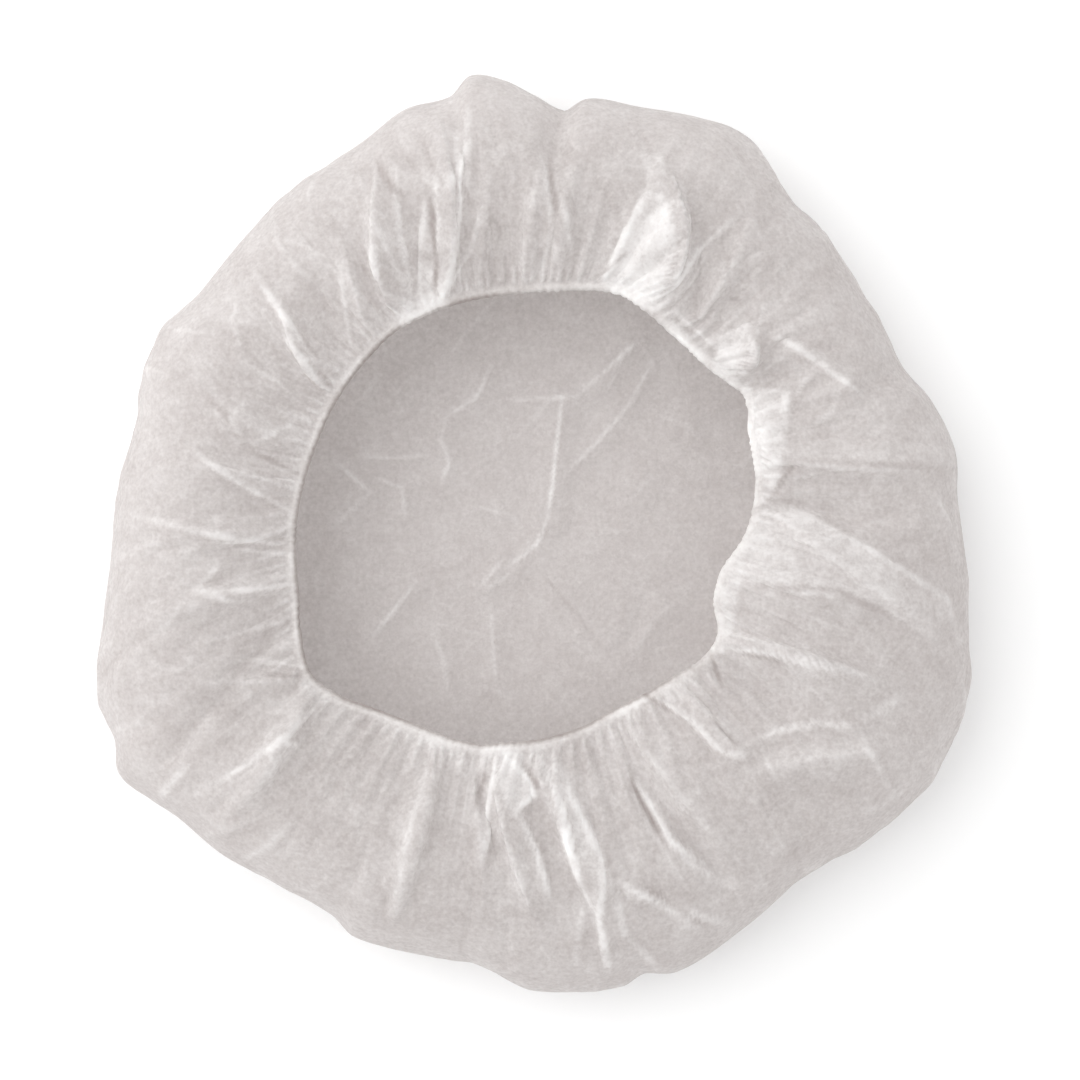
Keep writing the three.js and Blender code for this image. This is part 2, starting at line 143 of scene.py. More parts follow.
FOLD_SHARPNESS = 1.4
FOLD_CREST = 1.15  # sharper than the part's, as thin fabric creases
BAND_BEHIND = 1.0  # how far the doubled band reaches behind the crest and ahead of it, in fold widths
BAND_AHEAD = 0.2
FOLD_AT_HEM = 0.3
FOLD_HEM_FADE = 0.13

# How the fabric is gathered. Spare is the share of length round the cap that is left over to fold, at each
# share of the way from the hem to the edge. The real disc has more at the hem, where the elastic bunches it.
SPARE_OUT = [0, 0.05, 0.12, 0.25, 0.5, 0.8, 1]
SPARE = [0.22, 0.17, 0.125, 0.08, 0.035, 0.018, 0.01]
SPARE_PER_LEVEL = [0.2, 0.5, 1.0]  # the coarse grid makes the broad folds and the fine one the pleats
ROUNDS_PER_LEVEL = [260, 180, 90]
START_PER_LEVEL = [0.7, 0.35, 0.25]  # how far off its surface the fabric starts, so that it can fold
START_AT_EDGE = 0.35  # the share of that far from the hem
COLUMNS = 800
ROWS = 81
CROWN_STEP = 1.0
CROWN_RINGS = 88
OUTER_CROWN_STEP = 6.0
OUTER_CROWN_COUNT = 320
SECTION_START = 0.86  # the crown's share of reach where the folding fabric starts
ROW_POWER = 1.15  # above 1, the rows lie closer together at the hem
END_BEFORE_ROLL = 1.5  # the folding fabric ends this far short of the hem's roll
PLEATS = 170
PLEAT_RISE = 0.3  # the pleats' height beside the hem, as a share of GATHER_DEPTH
HEM_ROWS = 9
HEM_TURN = (90.0, 325.0)
HEM_WHITE = [1.7, 1.1, 0.4, 0.1, 0, 0, 0, 0, 0, 0]  # row by row round the roll
# Painted shade: HEM_SHADE paints the hem's inner side darker in the SHADED directions, standing in for the
# shade where the roll overhangs the crown.
HEM_SHADE = [0, 3, 8, 7, 3, 1, 0, 0, 0, 0]  # how much darker its inner side is in SHADED directions
SHADED = (95, 315)
HEM_PLEATS = [0.25, 0.25, 0.25, 0.3, 0.4, 0.5, 0.7, 0.9, 1.1, 1.3]  # their depth, most at the inner edge

# The cloth solver: how much of each error one round mends, and how strongly a point is held to its home
BENDING = 0.03
SLANT = 0.35
STRETCH = 0.9
HOLD = 0.004
HOLD_AT_EDGE = 0.05

rng = np.random.default_rng(SEED)


def mix(a, b, share):
    return a + (b - a) * share


def smooth(share):
    held = np.clip(share, 0, 1)
    return held * held * (3 - 2 * held)


def towards(degrees):
    turned = np.radians(degrees)
    return np.stack([np.cos(turned), np.sin(turned)], axis=-1)


def value_at(table, column, degrees):
    """The value of one column of a table of directions, on a smooth closed curve through its rows."""
    at = np.array([row[0] for row in table], float)
    value = np.array([row[column] for row in table], float)
    at = np.concatenate([at[-2:] - 360, at, at[:2] + 360])
    value = np.concatenate([value[-2:], value, value[:2]])
    slope = (value[2:] - value[:-2]) / (at[2:] - at[:-2])
    turned = np.mod(degrees, 360)
    k = np.searchsorted(at, turned, side="right") - 1
    span = at[k + 1] - at[k]
    share = (turned - at[k]) / span
    leave = slope[k - 1] * span
    change = value[k + 1] - value[k]
    bend = leave + slope[k] * span - 2 * change
    return value[k] + share * (leave + share * (change - leave - bend + share * bend))


def edge_point(degrees, ripple=1.0):
    return towards(degrees) * (CAP_RADIUS * mix(1, value_at(EDGE, 1, degrees), ripple))[..., None]


def elastic_point(degrees):
    reach = OPENING_RADIUS * value_at(RIM, 1, degrees) + HEM_ROLL + WALL / 2
    return OPENING_MIDDLE + towards(degrees) * reach[..., None]


def hem_top(degrees):
    return HEM_HEIGHT + HEM_SWAY * value_at(RIM, 2, degrees)


def elastic_height(degrees):
    return hem_top(degrees) - HEM_ROLL - WALL / 2


def top_point(degrees, out):
    return mix(elastic_point(degrees), edge_point(degrees), out)


def edge_sway(degrees):
    return EDGE_SWAY * np.cos(np.radians(3 * (degrees - EDGE_CREST))) * np.cos(np.radians(2 * degrees))


def smooth_through(xs, ys, wanted):
    """A smooth curve through the points, read at the wanted places."""
    xs = np.asarray(xs, float)
    ys = np.asarray(ys, float)
    slope = np.gradient(ys, xs)
    k = np.clip(np.searchsorted(xs, wanted, side="right") - 1, 0, len(xs) - 2)
    span = xs[k + 1] - xs[k]
    share = (wanted - xs[k]) / span
    change = ys[k + 1] - ys[k]
    leave = slope[k] * span
    bend = leave + slope[k + 1] * span - 2 * change
    return ys[k] + share * (leave + share * (change - leave - bend + share * bend))


class Section:
    """The cap's section from the middle of the crown to the hem, by its length along the fabric."""

    def __init__(self):
        inner = OPENING_RADIUS + HEM_ROLL
        crown = [(CAP_RADIUS * out, CAP_HEIGHT * up, ripple, 0) for out, up, ripple in CROWN_SECTION]
        top = [
            (mix(inner, CAP_RADIUS, out), mix(CAP_HEIGHT * up, HEM_HEIGHT, hem), 1, hem)
            for out, up, hem in TOP_SECTION
        ]
        top.append((inner, HEM_HEIGHT, 1, 1))
        rows = np.array(crown + top, float)
        steps = np.hypot(*np.diff(rows[:, :2], axis=0).T)
        self.along = np.concatenate([[0], np.cumsum(steps)])
        self.rows = rows
        self.inner = inner
        self.edge = self.along[len(crown) - 1]
        self.end = self.along[-1]
        ups = [row[1] for row in CROWN_SECTION] + [row[1] for row in TOP_SECTION] + [1]
        self.ups = np.array(ups, float)

    def at(self, along):
        """At lengths along the section: whether on top, then the plan, height, waviness and hem shares."""
        reach = np.minimum(smooth_through(self.along, self.rows[:, 0], along), CAP_RADIUS)
        on_top = along > self.edge
        out = np.where(on_top, (reach - self.inner) / (CAP_RADIUS - self.inner), reach / CAP_RADIUS)
        up = smooth_through(self.along, self.ups, along)
        ripple = np.interp(along, self.along, self.rows[:, 2])
        hem = smooth_through(self.along, self.rows[:, 3], along)
        return on_top, np.clip(out, 0, 1), np.clip(up, 0, None), ripple, np.clip(hem, 0, 1)


section = Section()
edge_all_round = edge_point(np.arange(0, 360, 0.25))
MIDDLE = (edge_all_round.max(axis=0) + edge_all_round.min(axis=0)) / 2


def fold_shapes(plan, out):
    """The main folds at points of the top: their rise, their sideways lean, and how doubled they lie."""
    rise = np.zeros(plan.shape[:-1])
    lean = np.zeros(plan.shape)
    doubled = np.zeros(plan.shape[:-1])
    for at, start_out, start_width, to_at, end_out, end_width, height, leaning in FOLDS:
        start = top_point(np.array(at), start_out)
        run = top_point(np.array(to_at), end_out) - start
        offset = plan - start
        along = np.clip((offset @ run) / (run @ run), 0, 1)
        away = np.linalg.norm(offset - along[..., None] * run, axis=-1)
        width = FOLD_WIDTH * mix(start_width, end_width, along)
        swell = np.sin(np.pi * mix(FOLD_START, 1, along))
        shape = height * swell * np.exp(-FOLD_SHARPNESS * (away / width) ** FOLD_CREST)
        rise += shape
        across = np.array([-run[1], run[0]]) / np.linalg.norm(run)
        lean += (leaning * shape)[..., None] * across
        if height > 0:
            past = (np.sign(leaning) or 1.0) * (offset @ across) / width
            band = smooth((past + BAND_BEHIND) / 0.9) * (1 - smooth((past - BAND_AHEAD) / 0.2))
            travel = (offset @ run) / (run @ run)
            ends = smooth((travel + 0.04) / 0.08) * (1 - smooth((travel - 0.9) / 0.14))
            doubled = np.maximum(doubled, height * swell * band * ends)
    held = FOLD_RISE * mix(FOLD_AT_HEM, 1, smooth(out / FOLD_HEM_FADE))
    return rise * held, lean * held[..., None], doubled


def base_surface(along, degrees, folded=True):
    """The part's surface at lengths along the section and directions, and how doubled it lies there."""
    on_top, out, up, ripple, hem = (value[:, None] for value in section.at(along))
    turned = degrees[None, :]
    edge_height = edge_sway(turned)
    crown_up = CROWN_SECTION[-1][1]
    crown = towards(turned) * (CAP_RADIUS * mix(1, value_at(EDGE, 1, turned), ripple) * out)[..., None]
    crown_height = WALL / 2 + CAP_HEIGHT * up + edge_height * smooth(up / crown_up)
    top = mix(elastic_point(turned), edge_point(turned), out[..., None])
    puffed = CAP_HEIGHT * up - WALL / 2 + edge_height * (1 - up)
    settled = mix(puffed, hem_top(turned) - WALL / 2, hem)
    rise, lean, doubled = fold_shapes(top, np.broadcast_to(out, top.shape[:-1]))
    if not folded:
        rise, lean = rise * 0, lean * 0
    plan = np.where(on_top[..., None], top + lean, crown)
    height = np.where(on_top, settled + rise, crown_height)
    return np.concatenate([plan, height[..., None]], axis=-1), np.where(on_top, doubled, 0)


def normals_of(grid):
    """The outward normals of a grid of points that closes on itself round the cap."""
    round_it = np.roll(grid, -1, axis=1) - np.roll(grid, 1, axis=1)
    along = np.gradient(grid, axis=0)
    normal = np.cross(along, round_it)
    return normal / np.maximum(np.linalg.norm(normal, axis=-1, keepdims=True), 1e-9)


def closed_noise(count, waves, seeded):
    """Noise round the cap with about that many waves, from -1 to 1."""
    knots = seeded.uniform(-1, 1, waves)
    place = np.arange(count) * waves / count
    k = place.astype(int)
    share = smooth(place - k)
    return mix(knots[k % waves], knots[(k + 1) % waves], share)


def pull_together(a, b, rest, share):
    """Moves two sets of points towards their rest distance."""
    gap = b - a
    length = np.sqrt(np.einsum("...k,...k->...", gap, gap))
    step = (0.5 * share * (1 - rest / np.maximum(length, 1e-6)))[..., None] * gap
    a += step
    b -= step


def pull_round(points, rest, share):
    """Neighbours round the cap, in two sets of pairs."""
    pull_together(points[:, 0::2], points[:, 1::2], rest[:, 0::2], share)
    turned = np.roll(points, -1, axis=1)
    pull_together(turned[:, 0::2], turned[:, 1::2], rest[:, 1::2], share)
    points[:] = np.roll(turned, 1, axis=1)


def pull_along(points, rest, share, shift=0):
    """Neighbours from row to row, straight or one column over."""
    for first in (0, 1):
        a = points[first:-1:2]
        b = points[first + 1 :: 2]
        turned = np.roll(b, -shift, axis=1)
        pull_together(a, turned, rest[first::2], share)
        b[:] = np.roll(turned, shift, axis=1)


def unbend_round(points, rest, share):
    """Points two apart round the cap, pushed towards lying straight."""
    rows, count, _ = points.shape
    for shift in (0, 2):
        turned = np.roll(points, -shift, axis=1)
        fours = turned.reshape(rows, count // 4, 4, 3)
        wanted = np.roll(rest, -shift, axis=1).reshape(rows, count // 4, 4)
        pull_together(fours[:, :, 0:2], fours[:, :, 2:4], wanted[:, :, 0:2], share)
        points[:] = np.roll(turned, shift, axis=1)


def unbend_along(points, rest, share):
    """Points two rows apart, pushed towards lying straight."""
    for first in (0, 2):
        blocks = (len(points) - first) // 4
        fours = points[first : first + 4 * blocks].reshape(blocks, 4, *points.shape[1:])
        wanted = rest[first : first + 4 * blocks].reshape(blocks, 4, -1)
        pull_together(fours[:, 0:2], fours[:, 2:4], wanted[:, 0:2], share)


def distances(a, b):
    return np.linalg.norm(b - a, axis=-1).astype(np.float32)


def settle(home, points, spare, rounds, hold):
    """Cloth: the points move until the sheet has its own lengths, near where the part has it."""
    width = distances(home, np.roll(home, -1, axis=1))
    round_rest = width * (1 + spare)
    along_rest = distances(home[:-1], home[1:])
    wider = (round_rest**2 - width**2)[:-1]
    slant_ahead = np.sqrt(distances(home[:-1], np.roll(home[1:], -1, axis=1)) ** 2 + wider)
    slant_back = np.sqrt(distances(home[:-1], np.roll(home[1:], 1, axis=1)) ** 2 + wider)
    straight_round = round_rest + np.roll(round_rest, -1, axis=1)
    straight_along = np.zeros(home.shape[:2], np.float32)
    straight_along[:-2] = along_rest[:-1] + along_rest[1:]
    for _ in range(rounds):
        points += (home - points) * hold
        unbend_round(points, straight_round, BENDING)
        unbend_along(points, straight_along, BENDING)
        pull_along(points, slant_ahead, SLANT, 1)
        pull_along(points, slant_back, SLANT, -1)
        pull_along(points, along_rest, STRETCH)
        pull_round(points, round_rest, STRETCH)
        points[0] = home[0]
        points[-1] = home[-1]
    return points


def finer(moved):
    """The same displacements on a grid with twice the rows and columns."""
    rows, count, _ = moved.shape
    wide = np.empty((rows, 2 * count, 3), np.float32)
    wide[:, 0::2] = moved
    wide[:, 1::2] = (moved + np.roll(moved, -1, axis=1)) / 2
    tall = np.empty((2 * rows - 1, 2 * count, 3), np.float32)
    tall[0::2] = wide
    tall[1::2] = (wide[:-1] + wide[1:]) / 2
    return tall


def pleat_heights(count):
    """The small pleats at the hem: sharp, uneven in height and spacing."""
    place = np.arange(count) / count
    wander = 1.3 * closed_noise(count, 40, rng) + 0.5 * closed_noise(count, 120, rng)
    wave = np.cos(2 * np.pi * (PLEATS * place + wander))
    return wave * (0.5 + 0.5 * closed_noise(count, 110, rng))


def folded_fabric(along, degrees):
    """The part's surface with its spare length settled into folds, how doubled it lies, and its pleats."""
    home_all, doubled = base_surface(along, degrees)
    pleats = pleat_heights(len(degrees))
    on_top, out, _, _, _ = section.at(along)
    out = np.where(on_top, out, 1)
    near_hem = (1 - smooth(out / 0.16))[:, None] * GATHER_DEPTH
    home_all = home_all.astype(np.float32)
    home_all[..., 2] += PLEAT_RISE * near_hem * pleats[None, :]
    spare_all = np.interp(out, SPARE_OUT, SPARE).astype(np.float32)
    under_edge = smooth((along - along[0]) / (section.edge - along[0]))
    spare_all = np.where(on_top, spare_all, spare_all * under_edge)
    moved = None
    for level, most in enumerate(SPARE_PER_LEVEL):
        step = 2 ** (len(SPARE_PER_LEVEL) - 1 - level)
        home = np.ascontiguousarray(home_all[::step, ::step])
        rows, count, _ = home.shape
        if moved is None:
            start = np.zeros_like(home)
        else:
            start = finer(moved)
        normal = normals_of(home)
        share_out = out[::step]
        seed_round = closed_noise(count, count // 5, rng) + 0.6 * closed_noise(count, count // 9, rng)
        drift = np.stack([np.roll(seed_round, int(k)) for k in rng.integers(-1, 2, rows).cumsum() // 3])
        envelope = np.sin(np.pi * np.clip(np.linspace(0, 1, rows), 0.02, 0.98)) ** 0.5
        envelope = envelope * np.where(share_out < 0.25 * step, 1.0, START_AT_EDGE)
        start = start + (START_PER_LEVEL[level] * envelope[:, None] * drift)[..., None] * normal
        points = (home + start).astype(np.float32)
        spare = np.minimum(spare_all[::step], most)[:, None] * np.ones((1, count), np.float32)
        hold = HOLD + HOLD_AT_EDGE * smooth((share_out - 0.8) / 0.2)
        hold = hold[:, None, None].astype(np.float32)
        points = settle(home, points, spare.astype(np.float32), ROUNDS_PER_LEVEL[level], hold)
        moved = points - home
        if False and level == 0:
            moved = finer(finer(moved))
            break
    return home_all + moved, doubled, pleats


def strip(first, second):
    """The triangles between two closed rings that may have different numbers of points."""
    faces = []
    a, b = len(first), len(second)
    i = j = 0
    while i < a or j < b:
        if i < a and (j == b or (i + 0.5) / a < (j + 0.5) / b):
            faces.append((first[i % a], first[(i + 1) % a], second[j % b]))
            i += 1
        else:
            faces.append((first[i % a], second[(j + 1) % b], second[j % b]))
            j += 1
    return faces


# Creases of the sheet as the photograph shows them: places along each in millimetres from the middle of the
# cap, the height of its ridge (furrows are negative, and their lines are painted darker as shade), and half
# its width
CROWN_CREASES = [
    ([(10, 49), (7, 22), (5, 6)], 1.7, 9),
    ([(5, 6), (1, -4), (-9, -12)], 1.3, 9),
    ([(-12, -10), (-19, -19)], 1.2, 5),
    ([(-9, -15), (-18, -21)], 0.9, 6),
    ([(37, 69), (25, 58)], 1.4, 9),
    ([(25, 58), (15, 49), (-12, 48)], 0.7, 7),
    ([(43, 63), (35, 47), (23, 33), (11, 21)], 1.0, 6),
    ([(-15, 62), (-21, 49), (-32, 42), (-34, 33)], 0.9, 7),
    ([(-34, 34), (-31, 26), (-34, 17)], 0.9, 5),
    ([(-37, 28), (-53, 27), (-64, 28)], 0.8, 5),
    ([(-70, 24), (-60, 15)], 1.0, 5),
    ([(-58, 20), (-48, 16), (-47, 6)], 0.8, 4),
    ([(-60, 14), (-74, 1)], 0.8, 7),
    ([(-43, -18), (-58, -37)], 1.1, 6),
    ([(-37, -36), (-33, -46), (-31, -59)], 0.7, 5),
    ([(-16, -27), (-14, -56)], 0.6, 5),
    ([(-21, 9), (-12, 7)], 0.5, 4),
    ([(45, 42), (56, 39), (59, 34)], 0.5, 4),
    ([(-55, 59), (-63, 48)], 0.6, 3),
]
TOP_CREASES = [
    ([(25, 89), (38, 116)], 0.8, 3),
    ([(23, 89), (31, 96)], -1.0, 2.5),
    ([(49, 97), (46, 87), (42, 77)], -0.7, 3),
    ([(70, 109), (55, 96), (45, 79)], 0.8, 3),
    ([(49, 76), (63, 64)], 0.8, 2.5),
    ([(43, 75), (59, 59)], 0.7, 2),
    ([(74, 63), (70, 53)], -1.0, 2),
    ([(84, 67), (98, 59), (112, 48)], 1.0, 3),
    ([(88, 50), (86, 40)], 0.8, 2),
    ([(73, 49), (75, 19)], 0.8, 2.5),
    ([(90, 24), (82, 12)], -1.0, 2.5),
    ([(87, 25), (146, 22)], -0.7, 2.5),
    ([(84, 11), (112, -4), (143, -23), (148, -38)], 0.9, 3),
    ([(71, -18), (105, -20), (123, -29)], -0.8, 3),
    ([(60, -40), (77, -41), (114, -49)], 1.1, 3),
    ([(71, -42), (86, -45)], -0.8, 2.5),
    ([(61, -42), (65, -53)], -1.4, 2.5),
    ([(39, -56), (55, -65), (65, -76), (76, -77)], 1.0, 3),
    ([(61, -64), (70, -73)], -1.3, 2.5),
    ([(71, -74), (84, -69), (98, -66), (112, -67)], 1.0, 5),
    ([(112, -66), (126, -57)], 0.6, 2.5),
    ([(112, -70), (125, -92)], 0.6, 3),
    ([(59, -82), (71, -78)], 0.6, 2),
    ([(38, -56), (47, -62)], -1.5, 2.5),
    ([(33, -85), (45, -107)], -1.8, 3),
    ([(35, -86), (47, -107), (59, -116)], 1.0, 2.5),
    ([(-12, -75), (-2, -86), (0, -91), (-7, -97)], 1.5, 3),
    ([(-6, -97), (1, -111), (5, -127)], 1.4, 3),
    ([(-14, -81), (-16, -98), (-18, -113)], 1.4, 3),
    ([(-17, -82), (-20, -95)], -0.9, 2.5),
    ([(-5, -79), (2, -89)], -1.1, 2),
    ([(2, -78), (9, -95), (13, -113), (18, -125)], 1.3, 3),
    ([(11, -89), (23, -113), (23, -136), (26, -150)], 1.3, 3),
    ([(25, -120), (38, -125), (59, -139)], 0.7, 5),
    ([(38, -122), (59, -137)], -0.7, 4.5),
    ([(28, -125), (31, -139), (45, -154)], 0.8, 2.5),
    ([(7, -91), (14, -112), (22, -134)], 0.9, 2.5),
    ([(29, -121), (48, -130), (68, -137)], 0.8, 2.5),
    ([(24, -137), (25, -152)], 0.8, 2.5),
    ([(17, -128), (14, -150)], 0.6, 2.5),
    ([(40, -100), (55, -116), (68, -123)], 0.8, 2.5),
    ([(-37, -82), (-43, -105), (-48, -132)], 0.5, 4),
    ([(-71, -55), (-88, -73), (-113, -89)], 1.0, 2.5),
    ([(-88, -71), (-83, -74)], 0.9, 3),
    ([(-121, -81), (-130, -92)], 1.0, 2.5),
    ([(-86, -102), (-94, -110), (-102, -114)], 0.7, 2.5),
    ([(-94, -49), (-81, -50)], -0.8, 2.5),
    ([(-76, -47), (-104, -44)], 0.7, 4),
    ([(-84, 7), (-97, 14), (-111, 23), (-117, 28)], 0.8, 3),
    ([(-81, 20), (-98, 28)], -0.8, 2.5),
    ([(-104, 38), (-113, 47)], -0.7, 2.5),
    ([(-80, 33), (-85, 37), (-97, 31)], 0.6, 2.5),
    ([(-83, -5), (-110, -1), (-140, 6)], 0.65, 2.5),
    ([(-83, -8), (-104, -6)], 0.6, 2),
    ([(-109, -11), (-117, -20), (-104, -24)], 0.7, 2),
    ([(-83, -18), (-97, -20), (-114, -21)], 0.7, 2),
    ([(-88, -31), (-113, -38)], 0.5, 2.5),
    ([(-68, 49), (-79, 64), (-89, 78), (-97, 90)], 1.0, 3),
    ([(-71, 47), (-87, 69)], 0.9, 2.5),
    ([(-70, 50), (-81, 69)], -0.9, 2),
    ([(-64, 65), (-67, 93)], 0.6, 3),
    ([(-56, 99), (-54, 86)], 1.0, 2.5),
    ([(-46, 70), (-40, 78)], 1.2, 3),
    ([(-43, 80), (-47, 104), (-48, 126)], 0.8, 3),
    ([(-37, 84), (-33, 104), (-34, 128)], 0.7, 2.5),
    ([(-33, 80), (-22, 98), (-18, 112)], 0.7, 2.5),
    ([(-45, 84), (-55, 106)], 0.6, 3),
    ([(-30, 118), (-21, 136)], 0.6, 2.5),
    ([(-33, 79), (-28, 93), (-26, 113), (-27, 136)], 1.0, 3.5),
    ([(-34, 83), (-36, 115)], -1.7, 4),
    ([(-38, 116), (-40, 83)], 0.9, 3),
    ([(-55, 130), (-51, 122), (-45, 115)], -1.3, 2.5),
    ([(-39, 136), (-32, 118)], -0.7, 3),
    ([(-23, 147), (-23, 118)], 0.6, 3),
    ([(3, 129), (6, 106)], 0.8, 2.5),
    ([(5, 127), (8, 109)], -0.9, 2.5),
    ([(10, 114), (12, 99)], 0.7, 2.5),
    ([(2, 88), (6, 104)], 0.6, 3),
]
CREASE_LINE = 1.35  # half the width of the white line along a crease
EDGE_LINE = 2.1  # the same near the puffed edge, where the mesh is coarser
EDGE_LINE_FROM = 60  # how far from the hem the lines have that width
# Painted shadow: each crease gets a darker line painted on its left side.
SHADE_BESIDE = 0.5  # how dark the line on the left side of a crease is, as a share of the white one
# how white a crease's line is per millimetre of its height; a furrow's negative height makes its line painted
# shade
WHITE_PER_HEIGHT = 0.55
CROWN_LINES = 0.95  # the single layer of the crown shows less white
CREASE_ENDS = 0.35  # the share of its height that a crease has left at its ends

# Where the top lies folded over itself: how much whiter that is, and the corners of the convex patch
PATCHES = [
    (0.5, [(23, 88), (38, 118), (45, 116), (49, 99), (43, 76), (28, 82)]),
    (0.26, [(38, 131), (45, 131), (46, 113), (39, 116)]),
    (0.4, [(64, 68), (74, 72), (77, 63), (69, 49), (61, 50)]),
    (0.42, [(72, 51), (90, 49), (83, 12), (75, 8)]),
    (0.08, [(86, 32), (119, 32), (148, 29), (146, 22), (87, 23)]),
    (0.26, [(72, 5), (84, 10), (112, -4), (116, -24), (70, -18)]),
    (0.2, [(112, -4), (144, -24), (139, -38), (116, -24)]),
    (0.26, [(61, -10), (75, 5), (71, -18), (71, -36), (60, -38)]),
    (0.36, [(-12, -73), (-4, -77), (0, -91), (-7, -98), (-12, -89)]),
    (0.35, [(5, -81), (9, -80), (23, -107), (28, -125), (22, -127), (13, -105)]),
    (0.06, [(-38, -81), (-33, -82), (-38, -116), (-48, -135), (-51, -131), (-46, -105)]),
    (0.2, [(-47, 102), (-38, 106), (-36, 83), (-46, 71)]),
    (0.34, [(-46, 69), (-48, 76), (-32, 86), (-29, 76)]),
    (0.2, [(28, -56), (39, -52), (37, -64), (31, -67)]),
]
PATCH_RISE = 0.7
PATCH_EDGE = 1.8  # the width over which a patch's edge rises

# Where the elastic bunches the hem most: direction, spread in degrees, reach outwards, and how much whiter
BUNCHES = [
    (12, 15, 10, 0.15), (40, 13, 5, 0.4), (64, 8, 12, 0.5), (118, 7, 9, 0.6), (150, 14, 4, 0.15),
    (185, 20, 5, 0.25), (221, 5, 7, 0.55), (248, 9, 7, 0.6), (264, 8, 10, 0.5), (292, 9, 4, 0.25),
    (309, 8, 8, 0.3), (331, 11, 8, 0.35),
]

CRUMPLES = 300  # small straight creases all over the fabric
CRUMPLE_LENGTH = (8.0, 36.0)
CRUMPLE_WIDTH = (4.0, 13.0)
CRUMPLE_KINK = 0.15
CRUMPLE_HEIGHT = 1.0
# The small creases' lines carry painted shade too, along their furrows and beside them.
CRUMPLE_LINES = 0.5  # how white a small crease is beside a main one
CRUMPLES_AT_HEM = 0.3  # the share of its height that one has left in the gathers

# How much whiter the sheer fabric looks than its single layer on the crown, and the painted shade in its
# furrows
RING_WHITE = 0.22
STEEP_WHITE = 0.14
RIDGE_WHITE = 0.28
# painted shade: furrows are painted darker, as the shade that falls in them
PAINTED_FURROW_SHADE = -0.16
DOUBLED_WHITE = 0.14
GATHERED_WHITE = 0.04
WHITE_LIMITS = (-2.0, 1.3)
CROWN_LOOK = (75, 120)  # how far from the middle the look of the crown starts to end, and ends
FLOOR_GAP = 0.15


def crumples():
    """Small bent creases over the flat sheet, up and down, each like a row of the tables of creases."""
    rows = []
    for _ in range(CRUMPLES):
        start = DISC_DIAMETER / 2 * np.sqrt(rng.uniform(0.0, 1.0)) * towards(rng.uniform(0, 360))
        length = rng.uniform(*CRUMPLE_LENGTH)
        end = start + length * towards(rng.uniform(0, 360))
        middle = (start + end) / 2 + CRUMPLE_KINK * length * rng.uniform(-1, 1, 2)
        height = CRUMPLE_HEIGHT * rng.uniform(0.3, 1.0) * rng.choice([-1, 1, 1])
        rows.append(([start, middle, end], height, rng.uniform(*CRUMPLE_WIDTH)))
    return rows


def one_crease(places, path, height, width, line_width):
    """The relief of one crease at places, and its line of colour: white along a ridge with a painted shadow
    on its left, painted shade along a furrow with a lighter line on its left.
    """
    ridge = np.zeros(len(places))
    line = np.zeros(len(places))
    dark = np.zeros(len(places))
    for start, end in zip(path[:-1], path[1:]):
        run = end - start
        share = np.clip((places - start) @ run / (run @ run), 0, 1)
        offset = places - start - share[:, None] * run
        away = np.linalg.norm(offset, axis=1)
        beside = (run[0] * offset[:, 1] - run[1] * offset[:, 0]) / np.linalg.norm(run)
        ridge = np.maximum(ridge, np.clip(1 - away / np.maximum(width, 2 * line_width), 0, 1))
        line = np.maximum(line, smooth(1 - away / line_width))
        # the painted shadow line beside the crease, on its left
        dark = np.maximum(dark, smooth(1.5 - away / line_width) * smooth(beside / line_width - 0.6))
    length = np.linalg.norm(path[-1] - path[0])
    ends = np.minimum(distances(places, path[0]), distances(places, path[-1])) / length
    fade = mix(CREASE_ENDS, 1, smooth(ends / 0.2))
    return height * ridge * fade, WHITE_PER_HEIGHT * height * (line - SHADE_BESIDE * dark) * fade


def along_creases(places, creases, line_width):
    """The relief of all the creases at places seen from above, and their lines of white and painted shade."""
    relief = np.zeros(len(places))
    lines = np.zeros(len(places))
    for path, height, width in creases:
        path = np.array(path, float)
        reach = max(width, 3 * line_width.max())
        inside = (places > path.min(axis=0) - reach) & (places < path.max(axis=0) + reach)
        near = np.flatnonzero(inside.all(axis=1))
        more_relief, more_line = one_crease(places[near], path, height, width, line_width[near])
        relief[near] += more_relief
        lines[near] += more_line
    return relief, lines


def inside_patch(places, corners):
    """1 inside a convex patch and 0 outside it, with a rising edge between."""
    corners = np.array(corners, float)
    turned = np.cross(corners[1] - corners[0], corners[2] - corners[1])
    inside = np.full(len(places), np.inf)
    for start, end in zip(corners, np.roll(corners, -1, axis=0)):
        edge = (end - start) / np.linalg.norm(end - start)
        offset = places - start
        depth = (edge[0] * offset[:, 1] - edge[1] * offset[:, 0]) * np.sign(turned)
        inside = np.minimum(inside, depth)
    return smooth(inside / PATCH_EDGE + 0.5)


def bunched(degrees, from_hem):
    """How much whiter the hem's bunches are, at directions and distances out from the hem."""
    white = np.zeros(len(degrees))
    for at, spread, reach, more in BUNCHES:
        turn = np.mod(degrees - at + 180, 360) - 180
        white = np.maximum(white, more * np.exp(-((turn / spread) ** 2)) * (1 - smooth(from_hem / reach)))
    return white


